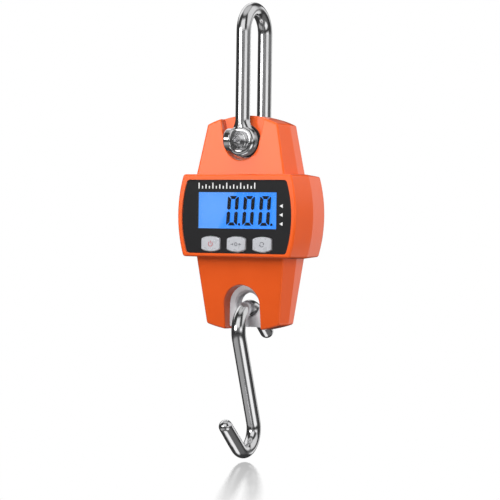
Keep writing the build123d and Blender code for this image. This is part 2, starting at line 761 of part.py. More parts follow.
def lcd_layers():
    """The display from its clear window back to its light, as named solids."""
    lens_front = PANEL_FRONT_Y + LENS_RECESS
    front = PANEL_FRONT_Y + PANEL_THICKNESS + LCD_GAP
    rear = front + LCD_SHEET + LCD_GAP
    light = rear + LCD_SHEET + 2 * LCD_GAP
    room = LCD_MARGIN + LCD_GAP
    holder = lcd_plate(room + HOLDER_WALL, front + 2 * LCD_GAP, PCB_FRONT_Y, below=LCD_TERMINAL)
    holder -= lcd_plate(room, -FAR, 0, below=LCD_TERMINAL)
    strip_z = LCD_BOTTOM - LCD_MARGIN - LCD_TERMINAL / 2
    strip_low = strip_z - CONNECTOR_HEIGHT / 2
    strip_high = strip_z + CONNECTOR_HEIGHT / 2
    return {
        "lcd_window": lcd_plate(-LENS_GAP, lens_front, lens_front + LENS_THICKNESS),
        "lcd_front_glass": lcd_plate(LCD_MARGIN, front, front + LCD_SHEET),
        "lcd_rear_glass": lcd_plate(LCD_MARGIN, rear, rear + LCD_SHEET, below=LCD_TERMINAL),
        "lcd_backlight": lcd_plate(LCD_MARGIN, light, light + LIGHT_THICKNESS),
        "lcd_holder": holder,
        "lcd_connector": plate(CONNECTOR_HALF, strip_low, strip_high, rear + LCD_SHEET, PCB_FRONT_Y),
    }


def key_cap(x):
    cap = slab(key_outline(x), KEY_FRONT_Y, KEY_BACK_Y)
    cap = fillet(cap.faces().sort_by(Axis.Y)[0].edges(), KEY_ROUND)
    flange_y = KEY_BACK_Y - KEY_FLANGE_DEPTH / 2
    flange = block(KEY_WIDTH + 2 * KEY_FLANGE, KEY_FLANGE_DEPTH, KEY_SIDE, x, flange_y, KEY_Z)
    return cap + flange


def switch_plunger(x):
    """It ends just short of the switch's base when its key is fully pressed."""
    end = PCB_FRONT_Y - SWITCH_BASE - KEY_STOP_GAP - KEY_TRAVEL
    return rod_y(PLUNGER_R, KEY_BACK_Y, end, x, KEY_Z)


def tact_switches():
    front = PCB_FRONT_Y - SWITCH_HEIGHT
    housings = []
    for x in key_places():
        housing = block(SWITCH_SIDE, SWITCH_HEIGHT, SWITCH_SIDE, x, (front + PCB_FRONT_Y) / 2, KEY_Z)
        well_r = PLUNGER_R + PLUNGER_GAP
        housings.append(housing - rod_y(well_r, front - CUT_PAST, PCB_FRONT_Y - SWITCH_BASE, x, KEY_Z))
    return Compound(housings)


# ---------------------------------------------------------------- circuit board


def main_pcb():
    board = plate(PCB_HALF, PCB_BOTTOM, PCB_TOP, PCB_FRONT_Y, PCB_BACK_Y, corner=PCB_CORNER_R)
    for x in (-PCB_SCREW_X, PCB_SCREW_X):
        for z in PCB_SCREW_Z:
            board -= rod_y(M2_CLEAR_R, -FAR, 0, x, z)
    return board


def pcb_chips():
    return Compound([
        block(width, depth, height, x, PCB_BACK_Y + depth / 2, z)
        for x, z, width, height, depth in CHIP_SIZES
    ])


def pcb_capacitors():
    return Compound([
        rod_y(CAPACITOR_R, PCB_BACK_Y, PCB_BACK_Y + CAPACITOR_HEIGHT, x, z)
        for x, z in CAPACITOR_PLACES
    ])


def pcb_crystal():
    x, z = CRYSTAL_PLACE
    width, depth, height = CRYSTAL_SIZE
    outline = Pos(x, z) * RectangleRounded(width, height, CRYSTAL_END_R)
    can = slab(outline, PCB_BACK_Y, PCB_BACK_Y + depth)
    return fillet(can.faces().sort_by(Axis.Y)[-1].edges(), CRYSTAL_ROUND)


def pcb_sockets():
    y = PCB_BACK_Y + SOCKET_DEPTH / 2
    lead_x = sum(LEAD_X) / len(LEAD_X)
    return Compound([
        block(GAUGE_SOCKET_WIDTH, SOCKET_DEPTH, SOCKET_HEIGHT, 0, y, GAUGE_SOCKET_Z),
        block(BATTERY_SOCKET_WIDTH, SOCKET_DEPTH, SOCKET_HEIGHT, lead_x, y, LEAD_Z[1]),
    ])


def pcb_screws():
    return Compound([
        screw(M2_R, M2_HEAD, PCB_BACK_Y, LEDGE_BACK_Y, x, z)
        for x in (-PCB_SCREW_X, PCB_SCREW_X)
        for z in PCB_SCREW_Z
    ])


# ---------------------------------------------------------------- batteries


def battery_tray():
    high = TRAY_HEIGHT_HALF
    tray = plate(TRAY_HALF, -high, high, TRAY_FLOOR_Y, TRAY_RIM_Y)
    tray -= plate(TRAY_HALF - TRAY_WALL, TRAY_WALL - high, high - TRAY_WALL, TRAY_FLOOR_Y + TRAY_WALL, FAR)
    front, back = TRAY_TAB_Y
    for side in (-1, 1):
        width = TRAY_TAB_HALF - TRAY_HALF
        tray += block(width, back - front, 2 * high, side * (TRAY_HALF + width / 2), (front + back) / 2, 0)
        for z in (-TRAY_SCREW_Z, TRAY_SCREW_Z):
            tray -= rod_y(M2_CLEAR_R, 0, FAR, side * TRAY_SCREW_X, z)
        notch = DOOR_SCREW_NOTCH
        tray -= block(notch, notch, notch, side * DOOR_SCREW_X, (front + back) / 2, 0)
    return tray


def aaa_place(index):
    """The side that a cell's tip points to, the other one from its neighbour's, and the cell's z."""
    side = 1 if index % 2 else -1
    return side, (index - (AAA_COUNT - 1) / 2) * AAA_PITCH


def aaa_cell(index):
    side, z = aaa_place(index)
    can = Cylinder(AAA_R, AAA_LENGTH, rotation=(0, 90, 0))
    can = fillet(can.edges().filter_by(GeomType.CIRCLE), AAA_ROUND)
    tip_x = side * (AAA_LENGTH + AAA_TIP_LENGTH) / 2
    tip = Pos(tip_x, 0, 0) * Cylinder(AAA_TIP_R, AAA_TIP_LENGTH, rotation=(0, 90, 0))
    return Pos(-side * AAA_TIP_LENGTH / 2, AAA_Y, z) * (can + tip)


def battery_contacts():
    """A flat plate at one end of each cell and a bent leaf spring at the other."""
    middle = TRAY_HALF - TRAY_WALL - CONTACT_THICKNESS / 2
    reach = (AAA_LENGTH + AAA_TIP_LENGTH) / 2 + CONTACT_GAP + LEAF_THICKNESS
    parts = []
    for index in range(AAA_COUNT):
        side, z = aaa_place(index)
        parts.append(block(CONTACT_THICKNESS, CONTACT_SIDE, CONTACT_SIDE, side * middle, AAA_Y, z))
        root = -side * middle
        crest = -side * reach
        spine = Polyline(
            (root, AAA_Y - LEAF_HALF_SPAN),
            (crest, AAA_Y - LEAF_CREST_HALF),
            (crest, AAA_Y + LEAF_CREST_HALF),
            (root, AAA_Y + LEAF_HALF_SPAN),
        )
        low = Plane.XY.offset(z - LEAF_WIDTH / 2)
        leaf = extrude(low * trace(spine, LEAF_THICKNESS), amount=LEAF_WIDTH)
        base = block(CONTACT_THICKNESS, LEAF_BASE_WIDTH, CONTACT_SIDE, root, AAA_Y, z)
        parts.append(base + leaf)
    return Compound(parts)


def tray_screws():
    return Compound([
        screw(M2_R, M2_HEAD, TRAY_TAB_Y[0], PAD_Y + TRAY_SCREW_DEPTH, x, z)
        for x in (-TRAY_SCREW_X, TRAY_SCREW_X)
        for z in (-TRAY_SCREW_Z, TRAY_SCREW_Z)
    ])


def battery_lead(x):
    start, end = TRAY_FLOOR_Y, PCB_BACK_Y + SOCKET_DEPTH
    points = (
        (x, start, LEAD_Z[0]),
        (x, start - LEAD_RUN, LEAD_Z[0]),
        (x, end + LEAD_RUN, LEAD_Z[1]),
        (x, end, LEAD_Z[1]),
    )
    return tube(points, (LEAD_BEND_R, LEAD_BEND_R), LEAD_R)


def battery_door():
    outline = RectangleRounded(2 * DOOR_HALF, 2 * DOOR_HEIGHT_HALF, DOOR_CORNER_R)
    door = slab(outline, DOOR_SEAT_Y + DOOR_SEAT_GAP, DOOR_REAR_Y)
    door = fillet(door.faces().sort_by(Axis.Y)[-1].edges(), DOOR_EDGE_R)
    for step in range(GRIP_COUNT):
        x = -DOOR_HALF + GRIP_START + step * GRIP_PITCH
        door -= block(*GRIP_SIZE, x, DOOR_REAR_Y, 0)
    door -= rod_y(M3_CLEAR_R, 0, FAR, DOOR_SCREW_X)
    return door


def door_screw():
    return screw(M3_R, DOOR_SCREW_HEAD, DOOR_REAR_Y, DOOR_SCREW_TIP_Y, DOOR_SCREW_X, 0)


# ---------------------------------------------------------------- every piece, by name


def pieces():
    parts = {
        "shackle": shackle(),
        "shackle_pin": shackle_pin(),
        "front_shell": front_shell(),
        "rear_shell": rear_shell(),
        "case_screws": case_screws(),
        "load_cell": load_cell(),
        "strain_gauges": strain_gauges(),
        "gauge_potting": gauge_potting(),
        "gauge_cable": gauge_cable(),
        "pin_spacer_front": pin_spacer(-SPACER_END, CELL_FRONT_Y),
        "pin_spacer_rear": pin_spacer(CELL_REAR_Y, SPACER_END),
        "cell_screws": cell_screws(),
        "hook": hook(),
        "face_panel": face_panel(),
        "tact_switches": tact_switches(),
        "main_pcb": main_pcb(),
        "pcb_chips": pcb_chips(),
        "pcb_capacitors": pcb_capacitors(),
        "pcb_crystal": pcb_crystal(),
        "pcb_sockets": pcb_sockets(),
        "pcb_screws": pcb_screws(),
        "battery_tray": battery_tray(),
        "battery_contacts": battery_contacts(),
        "battery_tray_screws": tray_screws(),
        "battery_lead_red": battery_lead(LEAD_X[0]),
        "battery_lead_black": battery_lead(LEAD_X[1]),
        "battery_door": battery_door(),
        "door_screw": door_screw(),
    }
    parts.update(lcd_layers())
    for name, x in zip(KEY_NAMES, key_places()):
        parts[name] = key_cap(x)
        parts[name.replace("key", "plunger")] = switch_plunger(x)
    for index in range(AAA_COUNT):
        parts[f"battery_cell_{index + 1}"] = aaa_cell(index)
    return parts


def write_out():
    os.makedirs("parts", exist_ok=True)
    for name, shape in pieces().items():
        export_step(Pos(0, 0, -CROWN_Z) * shape, f"parts/{name}.step")


write_out()
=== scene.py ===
import json
import math

import bmesh
import bpy
from mathutils import Matrix, Vector


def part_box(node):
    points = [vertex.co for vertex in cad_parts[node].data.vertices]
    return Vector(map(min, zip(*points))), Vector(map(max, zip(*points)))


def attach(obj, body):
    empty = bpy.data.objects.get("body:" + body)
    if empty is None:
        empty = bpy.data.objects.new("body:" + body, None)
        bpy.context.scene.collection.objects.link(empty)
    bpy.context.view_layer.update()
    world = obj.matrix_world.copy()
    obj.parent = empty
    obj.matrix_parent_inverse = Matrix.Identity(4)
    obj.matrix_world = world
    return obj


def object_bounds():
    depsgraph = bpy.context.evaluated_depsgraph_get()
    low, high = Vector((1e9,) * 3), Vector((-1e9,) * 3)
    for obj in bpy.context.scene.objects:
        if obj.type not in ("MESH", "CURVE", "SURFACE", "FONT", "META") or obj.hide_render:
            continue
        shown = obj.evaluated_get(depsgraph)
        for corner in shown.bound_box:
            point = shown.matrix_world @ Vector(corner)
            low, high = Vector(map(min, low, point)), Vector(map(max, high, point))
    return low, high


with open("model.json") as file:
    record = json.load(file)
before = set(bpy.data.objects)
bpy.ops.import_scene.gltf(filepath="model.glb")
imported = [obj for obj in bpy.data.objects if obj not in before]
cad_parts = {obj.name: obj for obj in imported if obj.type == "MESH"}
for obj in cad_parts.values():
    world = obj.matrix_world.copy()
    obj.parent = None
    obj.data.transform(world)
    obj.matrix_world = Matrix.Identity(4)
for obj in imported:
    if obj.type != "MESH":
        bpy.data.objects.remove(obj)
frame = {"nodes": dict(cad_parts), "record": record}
cad_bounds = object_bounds()

# The scene is in metres, and a size in millimetres is multiplied by MM
MM = 0.001

# Camera: nearly level, to the right of the display's own direction and far enough away for a long
# lens. Angles are in degrees, distances in metres, and the lens and its sensor in millimetres.
CAMERA_YAW = 27.24
CAMERA_PITCH = 0.6
CAMERA_ROLL = -0.75
CAMERA_DISTANCE = 1.337
CAMERA_TARGET = (-0.0012, 0.0, -0.14645)
CAMERA_LENS = 153.07
CAMERA_SENSOR = 36.0

# Floor, in metres: it is polished near the object and dull beyond. FLOOR_MIRROR is how much it
# reflects, and FLOOR_SCATTER how far its grain tilts it across and along the camera's view.
FLOOR_GAP = 0.0012
FLOOR_SIZE = 40.0
FLOOR_POLISH_TO = 0.16
FLOOR_DULL_FROM = 0.40
FLOOR_MIRROR = 0.45
FLOOR_SCATTER = (0.14, 0.012, 0.0)

# Soft boxes that light matt surfaces: name, azimuth right of the camera, elevation, width and
# height in degrees, radiance and distance in metres. FILL is the even light from all round.
SOFTBOXES = (
    ("key", -35, 42, 50, 50, 3.6, 0.45),
    ("side_fill", 80, 12, 50, 60, 2.4, 1.7),
)
FILL = 0.42

# Cycles takes a quarter of an area light's watts for each square metre as its radiance
WATTS_FOR_RADIANCE = 4

# The only slots that chrome mirrors. The painted casing would tint it, and with the casing the
# pieces inside are left out too, because they would show through it.
MIRRORED_SLOTS = ("shackle_steel", "hook_steel", "cell_alloy")

# The dark tent that polished surfaces mirror, and the lit panels in it: name, azimuth right of
# the camera, elevation, width, height and soft edge in degrees, and brightness
TENT_DARK = 0.04
TENT_PANELS = (
    ("left", -50, 8, 36, 13, 4, 3.8),
    ("centre", 0, 2, 44, 14, 10, 0.20),
    ("right", 40, 2, 42, 11, 8, 1.05),
    ("rear_right", 139, 0, 20, 44, 6, 0.80),
    ("upper_centre", -18, 28, 64, 38, 10, 0.85),
    ("upper_right", 88, 34, 74, 52, 12, 0.72),
    ("upper_rear", -150, 38, 76, 36, 12, 0.90),
    ("top", 0, 82, 360, 40, 12, 0.55),
    ("lower_left", -66, -37, 92, 28, 6, 0.36),
    ("lower_right", 42, -34, 50, 28, 8, 1.0),
    ("bottom", 0, -45, 240, 60, 20, 0.13),
    ("under", 0, -90, 360, 36, 10, 1.0),
)

# Display characters, in millimetres from the lower left corner of the display's opening, which is
# larger than its clear window by WINDOW_GAP. The corner cuts are shares of half a segment's width.
WINDOW_GAP = 0.1
DIGIT_COUNT = 3
DIGIT_LEFT = 18.8
DIGIT_BASE = 1.9
DIGIT_PITCH = 11.2
DIGIT_WIDTH = 7.8
DIGIT_HEIGHT = 18.4
DIGIT_SLANT = 0.07
SEGMENT_WIDTH = 2.45
SEGMENT_CAP = 1.95
SEGMENT_GAP = 0.2
SEGMENT_THICKNESS = 0.03
SEGMENT_LIFT = 0.04
CORNER_CUT_ACROSS = 0.5
CORNER_CUT_HIGH = 0.2
CORNER_CUT_LOW = 0.4
POINT_SIZE = 1.5
POINT_GAP = 0.7
POINT_AFTER = (0, 2)

# The display's light, with a painted glare: a slanting line parts its paler left, a painted reflection, from
# its right.
# PAINTED_GLARE_EDGE is the share of the width that lies left of the line, and PAINTED_GLARE_BLUR is in
# metres.
PAINTED_GLARE_SLANT = 0.52
PAINTED_GLARE_EDGE = 0.35
PAINTED_GLARE_BLUR = 0.0015

# Printed marks on the face panel, in millimetres
PRINT_THICKNESS = 0.03
TICK_COUNT = 17
TICK_PITCH = 2.44
TICK_WIDTH = 0.75
TICK_START = 0.4
TICK_BASE = 2.3
TICK_HEIGHTS = (1.7, 2.6, 3.7)
POINTER_INSET = 2.3
POINTER_LENGTH = 2.2
POINTER_HEIGHT = 2.4
POINTER_HEIGHTS = (14.1, 8.6, 3.1)

# Printed symbols on the keys, in millimetres and degrees
POWER_R = 1.45
POWER_LINE = 0.42
POWER_TOP = 90
POWER_OPENING = 70
POWER_BAR_Z = 1.15
POWER_BAR_HEIGHT = 1.9
NOUGHT_R = 0.95
NOUGHT_LINE = 0.38
ARROW_TIP_X = 1.7
ARROW_BACK_X = 2.6
ARROW_HALF_HEIGHT = 0.75
ARROW_SHAFT_X = 3.1
ARROW_SHAFT_LENGTH = 1.3
CYCLE_R = 1.4
CYCLE_LINE = 0.4
CYCLE_FROM = 25
CYCLE_TO = 150
CYCLE_HEAD_HALF = 0.65
CYCLE_HEAD_TURN = 37
ARC_STEPS = 20

# The pale band on a battery's sleeve, as a share of its length, and the band's edge in millimetres
BAND_SHARE = 0.3
BAND_EDGE = 0.1


# ---------------------------------------------------------------- node helpers

# The mix node gives its sockets for numbers, vectors and colours the same names, so the ones for
# colours go by their places
MIX_FIRST = 6
MIX_SECOND = 7
MIX_RESULT = 2


class NodeTree:
    """A node tree with short calls for the nodes used here."""

    def __init__(self, owner):
        owner.use_nodes = True
        self.nodes = owner.node_tree.nodes
        self.links = owner.node_tree.links

    def add(self, kind, **settings):
        node = self.nodes.new(kind)
        for key, value in settings.items():
            setattr(node, key, value)
        return node

    def link(self, source, target):
        self.links.new(source, target)

    def span(self, value, low, high, start=0.0, end=1.0):
        """A value from low..high carried to start..end, held inside that range."""
        node = self.add("ShaderNodeMapRange")
        node.inputs["From Min"].default_value = low
        node.inputs["From Max"].default_value = high
        node.inputs["To Min"].default_value = start
        node.inputs["To Max"].default_value = end
        self.link(value, node.inputs["Value"])
        return node.outputs["Result"]

    def math(self, operation, first, second=None):
        """A sum on numbers or on other nodes' results."""
        node = self.add("ShaderNodeMath", operation=operation)
        for socket, value in zip(node.inputs, (first, second)):
            if isinstance(value, (int, float)):
                socket.default_value = value
            elif value is not None:
                self.link(value, socket)
        return node.outputs["Value"]

    def along(self, vector, direction):
        """How far a vector reaches along a direction."""
        node = self.add("ShaderNodeVectorMath", operation="DOT_PRODUCT")
        node.inputs[1].default_value = direction
        self.link(vector, node.inputs[0])
        return node.outputs["Value"]

    def blend(self, factor, first, second):
        """Two colours mixed by a factor from 0 to 1."""
        node = self.add("ShaderNodeMix", data_type="RGBA")
        self.link(factor, node.inputs["Factor"])
        for place, colour in ((MIX_FIRST, first), (MIX_SECOND, second)):
            if isinstance(colour, tuple):
                node.inputs[place].default_value = (*colour, 1.0)
            else:
                self.link(colour, node.inputs[place])
        return node.outputs[MIX_RESULT]

    def mix_shaders(self, factor, first, second):
        node = self.add("ShaderNodeMixShader")
        self.link(factor, node.inputs["Fac"])
        self.link(first, node.inputs[1])
        self.link(second, node.inputs[2])
        return node.outputs["Shader"]


class Shader(NodeTree):
    """A material's node tree around its surface shader."""

    def __init__(self, name):
        self.material = bpy.data.materials.new(name)
        super().__init__(self.material)
        self.surface = self.nodes["Principled BSDF"]

    def set(self, **values):
        """Set sockets of the surface shader, with underscores for spaces."""
        for key, value in values.items():
            self.surface.inputs[key.replace("_", " ")].default_value = value

    def place(self, stretch=(1, 1, 1)):
        """The position on the object in millimetres, squeezed along the axes asked for."""
        coords = self.add("ShaderNodeTexCoord")
        mapping = self.add("ShaderNodeMapping")
        mapping.inputs["Scale"].default_value = tuple(share / MM for share in stretch)
        self.link(coords.outputs["Object"], mapping.inputs["Vector"])
        return mapping.outputs["Vector"]

    def reach(self, axis):
        """The position on the object along X, Y or Z, in metres."""
        split = self.add("ShaderNodeSeparateXYZ")
        self.link(self.add("ShaderNodeTexCoord").outputs["Object"], split.inputs["Vector"])
        return split.outputs[axis]

    def noise(self, size, stretch=(1, 1, 1), detail=3.0):
        """Soft noise whose features are about size millimetres across."""
        node = self.add("ShaderNodeTexNoise")
        node.inputs["Scale"].default_value = 1.0 / size
        node.inputs["Detail"].default_value = detail
        self.link(self.place(stretch), node.inputs["Vector"])
        return node.outputs["Fac"]

    def cells(self, size):
        """How far it is to the nearest of many dots, about size millimetres apart."""
        node = self.add("ShaderNodeTexVoronoi")
        node.inputs["Scale"].default_value = 1.0 / size
        self.link(self.place(), node.inputs["Vector"])
        return node.outputs["Distance"]

    def paint(self, colour):
        """Give the surface its colour, which may vary."""
        if isinstance(colour, tuple):
            self.surface.inputs["Base Color"].default_value = (*colour, 1.0)
        else:
            self.link(colour, self.surface.inputs["Base Color"])

    def roughen(self, value):
        self.link(value, self.surface.inputs["Roughness"])

    def bump(self, height, depth_mm, strength=1.0):
        node = self.add("ShaderNodeBump")
        node.inputs["Strength"].default_value = strength
        node.inputs["Distance"].default_value = depth_mm * MM
        self.link(height, node.inputs["Height"])
        self.link(node.outputs["Normal"], self.surface.inputs["Normal"])


# ---------------------------------------------------------------- materials


def polished_chrome(name):
    """Bright plate with faint drawn lines and a breath of haze."""
    shader = Shader(name)
    haze = shader.noise(9.0, detail=4.0)
    lines = shader.noise(0.5, stretch=(1, 1, 0.04), detail=2.0)
    shader.paint(shader.blend(haze, (0.84, 0.84, 0.85), (0.92, 0.92, 0.93)))
    shader.roughen(shader.span(haze, 0.3, 0.7, 0.12, 0.17))
    shader.set(Metallic=1.0)
    shader.bump(lines, 0.0002, 0.15)
    return shader.material


def orange_enamel(name):
    """Enamel on a casting: a warm sheen, slight orange peel and a thin clear coat."""
    shader = Shader(name)
    cloud = shader.noise(14.0, detail=2.0)
    peel = shader.noise(1.3, detail=2.0)
    grit = shader.noise(0.25, detail=2.0)
    shader.paint(shader.blend(cloud, (0.79, 0.092, 0.010), (0.85, 0.105, 0.012)))
    shader.roughen(shader.span(cloud, 0.3, 0.7, 0.36, 0.44))
    shader.set(Specular_Tint=(1.0, 0.70, 0.34, 1.0), Coat_Weight=0.7, Coat_Roughness=0.06)
    height = shader.math("ADD", peel, shader.math("MULTIPLY", grit, 0.25))
    shader.bump(height, 0.03, 0.30)
    return shader.material


def brushed_alloy(name):
    """Machined bar with lines along its length and a satin sheen."""
    shader = Shader(name)
    lines = shader.noise(0.22, stretch=(1, 1, 0.03), detail=3.0)
    cloud = shader.noise(6.0)
    shader.paint(shader.blend(lines, (0.72, 0.73, 0.76), (0.84, 0.85, 0.88)))
    shader.roughen(shader.span(cloud, 0.3, 0.7, 0.42, 0.50))
    shader.set(Metallic=0.5)
    shader.bump(lines, 0.012, 0.4)
    return shader.material


def black_panel(name):
    """Dark moulding with a fine even texture."""
    shader = Shader(name)
    grain = shader.noise(0.35, detail=3.0)
    cloud = shader.noise(20.0)
    shader.paint(shader.blend(cloud, (0.008, 0.008, 0.009), (0.012, 0.012, 0.013)))
    shader.roughen(shader.span(grain, 0.3, 0.7, 0.30, 0.40))
    shader.set(Specular_IOR_Level=0.18)
    shader.bump(grain, 0.008, 0.35)
    return shader.material


def clear_sheet(name, tint):
    """Clear acrylic or glass with the faintest ripple, of a low index that hardly veils the display."""
    shader = Shader(name)
    ripple = shader.noise(12.0, detail=1.0)
    shader.paint(shader.blend(ripple, tint, (1.0, 1.0, 1.0)))
    shader.set(Roughness=0.05, IOR=1.06, Transmission_Weight=1.0)
    shader.bump(ripple, 0.004, 0.2)
    return shader.material


def blue_light(name):
    """Edge-lit light guide whose paler left, up to a slanting line, is a painted glare, a reflection painted
    into its light.
    """
    shader = Shader(name)
    low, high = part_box("lcd_backlight")
    # The slanting line and the blend mask along it mark where the painted glare lies on the display.
    across = shader.math("ADD", shader.reach("X"), shader.math("MULTIPLY", shader.reach("Z"), -PAINTED_GLARE_SLANT))
    edge = low.x + PAINTED_GLARE_EDGE * (high.x - low.x) - PAINTED_GLARE_SLANT * (low.z + high.z) / 2
    along = shader.span(across, edge - PAINTED_GLARE_BLUR, edge + PAINTED_GLARE_BLUR)
    dots = shader.span(shader.cells(0.8), 0.2, 0.5, 0.97, 1.0)
    # The paler first colour is the painted glare, a reflection painted into the light left of the line.
    colour = shader.blend(along, (0.100, 0.350, 0.96), (0.032, 0.290, 1.05))
    shader.paint((0.01, 0.03, 0.10))
    shader.link(colour, shader.surface.inputs["Emission Color"])
    shader.link(dots, shader.surface.inputs["Emission Strength"])
    shader.set(Roughness=0.5)
    return shader.material


def silver_key(name):
    """Silver-white painted key with a satin skin."""
    shader = Shader(name)
    fleck = shader.noise(0.18, detail=2.0)
    cloud = shader.noise(4.0)
    shader.paint(shader.blend(fleck, (0.40, 0.41, 0.44), (0.52, 0.53, 0.56)))
    shader.roughen(shader.span(cloud, 0.3, 0.7, 0.24, 0.34))
    shader.set(Metallic=0.25, Coat_Weight=0.4, Coat_Roughness=0.12)
    shader.bump(fleck, 0.004, 0.25)
    return shader.material


def moulded_plastic(name, dark, light, rough=0.5, grain_mm=0.35):
    """Moulded plastic with a spark-eroded texture."""
    shader = Shader(name)
    grain = shader.noise(grain_mm, detail=4.0)
    cloud = shader.noise(12.0)
    shader.paint(shader.blend(cloud, dark, light))
    shader.roughen(shader.span(grain, 0.3, 0.7, rough - 0.06, rough + 0.08))
    shader.bump(grain, 0.02, 0.5)
    return shader.material


def soft_rubber(name, dark, light):
    """Rubber or flexible insulation with a faint bloom."""
    shader = Shader(name)
    grain = shader.noise(0.6, detail=3.0)
    shader.paint(shader.blend(grain, dark, light))
    shader.set(Roughness=0.55, Sheen_Weight=0.08)
    shader.bump(grain, 0.02, 0.4)
    return shader.material


def solder_mask(name):
    """Green board with copper tracks running under the mask."""
    shader = Shader(name)
    tracks = shader.add("ShaderNodeTexBrick")
    tracks.inputs["Scale"].default_value = 0.35
    tracks.inputs["Mortar Size"].default_value = 0.035
    tracks.inputs["Color1"].default_value = (0.006, 0.075, 0.030, 1.0)
    tracks.inputs["Color2"].default_value = (0.008, 0.090, 0.036, 1.0)
    tracks.inputs["Mortar"].default_value = (0.030, 0.200, 0.080, 1.0)
    turn = shader.add("ShaderNodeVectorRotate", rotation_type="X_AXIS")
    turn.inputs["Angle"].default_value = math.pi / 2
    shader.link(shader.place(), turn.inputs["Vector"])
    shader.link(turn.outputs["Vector"], tracks.inputs["Vector"])
    shader.paint(tracks.outputs["Color"])
    shader.set(Roughness=0.32, Coat_Weight=0.3, Coat_Roughness=0.1)
    shader.bump(tracks.outputs["Fac"], 0.03, 0.4)
    return shader.material


def plated_steel(name, dark, light, rough=0.3):
    """Zinc or nickel plate, softly mottled."""
    shader = Shader(name)
    mottle = shader.noise(1.2, detail=4.0)
    shader.paint(shader.blend(mottle, dark, light))
    shader.roughen(shader.span(mottle, 0.3, 0.7, rough - 0.06, rough + 0.08))
    shader.set(Metallic=1.0)
    shader.bump(mottle, 0.01, 0.4)
    return shader.material


def battery_sleeve(name):
    """Dark sleeve with a pale band near one end."""
    shader = Shader(name)
    low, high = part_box("battery_cell_1")
    edge = low.x + BAND_SHARE * (high.x - low.x)
    band = shader.span(shader.reach("X"), edge, edge + BAND_EDGE * MM)
    shader.paint(shader.blend(band, (0.45, 0.42, 0.36), (0.018, 0.024, 0.032)))
    shader.set(Roughness=0.28, Coat_Weight=0.5, Coat_Roughness=0.08)
    shader.bump(shader.noise(3.0), 0.01, 0.3)
    return shader.material


def gauge_film(name):
    """Amber film with the fine grid of the foil."""
    shader = Shader(name)
    grid = shader.noise(0.12, stretch=(0.05, 1, 1), detail=1.0)
    shader.paint(shader.blend(shader.span(grid, 0.45, 0.55), (0.42, 0.20, 0.04), (0.75, 0.55, 0.30)))
    shader.set(Roughness=0.35)
    shader.bump(grid, 0.01, 0.4)
    return shader.material


def liquid_crystal(name):
    """Near-black segments of the display."""
    shader = Shader(name)
    cloud = shader.noise(2.0)
    shader.paint(shader.blend(cloud, (0.0006, 0.0012, 0.006), (0.001, 0.002, 0.010)))
    shader.set(Roughness=0.35, Specular_IOR_Level=0.2)
    return shader.material


def printed_ink(name, colour):
    """Screen-printed ink with a slightly uneven film."""
    shader = Shader(name)
    film = shader.noise(0.3, detail=2.0)
    faint = tuple(channel * 0.86 for channel in colour)
    shader.paint(shader.blend(film, faint, colour))
    shader.set(Roughness=0.45)
    shader.bump(film, 0.004, 0.3)
    return shader.material


def build_materials():
    """One material for each slot of the record, named after its slot."""
    makers = {
        "shackle_steel": (polished_chrome,),
        "hook_steel": (polished_chrome,),
        "body_paint": (orange_enamel,),
        "cell_alloy": (brushed_alloy,),
        "panel_black": (black_panel,),
        "clear_window": (clear_sheet, (0.96, 0.98, 1.0)),
        "display_glass": (clear_sheet, (0.93, 0.97, 1.0)),
        "display_light": (blue_light,),
        "white_plastic": (moulded_plastic, (0.72, 0.73, 0.74), (0.80, 0.80, 0.80)),
        "key_silver": (silver_key,),
        "black_plastic": (moulded_plastic, (0.016, 0.016, 0.017), (0.024, 0.024, 0.025)),
        "nylon_black": (moulded_plastic, (0.010, 0.010, 0.011), (0.016, 0.016, 0.017), 0.42),
        "silicone": (soft_rubber, (0.66, 0.66, 0.64), (0.78, 0.78, 0.75)),
        "carbon_rubber": (soft_rubber, (0.02, 0.02, 0.02), (0.05, 0.05, 0.05)),
        "circuit_green": (solder_mask,),
        "chip_black": (moulded_plastic, (0.012, 0.012, 0.012), (0.02, 0.02, 0.02), 0.6, 0.15),
        "capacitor_can": (plated_steel, (0.62, 0.63, 0.65), (0.78, 0.79, 0.80), 0.22),
        "gauge_foil": (gauge_film,),
        "screw_zinc": (plated_steel, (0.50, 0.50, 0.50), (0.70, 0.70, 0.69)),
        "contact_steel": (plated_steel, (0.64, 0.62, 0.58), (0.80, 0.78, 0.73)),
        "battery_jacket": (battery_sleeve,),
        "lead_red": (soft_rubber, (0.40, 0.010, 0.010), (0.52, 0.018, 0.014)),
        "lead_black": (soft_rubber, (0.012, 0.012, 0.012), (0.022, 0.022, 0.022)),
    }
    return {slot: maker(slot, *settings) for slot, (maker, *settings) in makers.items()}


def dress_cad_nodes(materials):
    """Give every CAD node its slot's material, and say whether chrome mirrors it."""
    for subpart in frame["record"]["subparts"]:
        node = frame["nodes"][subpart["node"]]
        node.data.materials.clear()
        node.data.materials.append(materials[subpart["material_slot"]])
        node.visible_glossy = subpart["material_slot"] in MIRRORED_SLOTS


# ---------------------------------------------------------------- pieces drawn on the front


def flat_piece(name, outlines, y_back, thickness, material, body):
    """Thin raised shapes on an X-Z plane, facing -Y, each given by its corners in metres."""
    mesh = bmesh.new()
    for outline in outlines:
        face = mesh.faces.new([mesh.verts.new((x, y_back, z)) for x, z in outline])
        grown = bmesh.ops.extrude_face_region(mesh, geom=[face])
        lifted = [item for item in grown["geom"] if isinstance(item, bmesh.types.BMVert)]
        bmesh.ops.translate(mesh, verts=lifted, vec=(0, -thickness, 0))
    bmesh.ops.recalc_face_normals(mesh, faces=mesh.faces)
    data = bpy.data.meshes.new(name)
    mesh.to_mesh(data)
    mesh.free()
    piece = bpy.data.objects.new(name, data)
    bpy.context.scene.collection.objects.link(piece)
    data.materials.append(material)
    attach(piece, body)


def print_on(node, name, outlines, ink, body):
    """Shapes printed on the front of a CAD node."""
    flat_piece(name, outlines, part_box(node)[0].y, PRINT_THICKNESS * MM, ink, body)


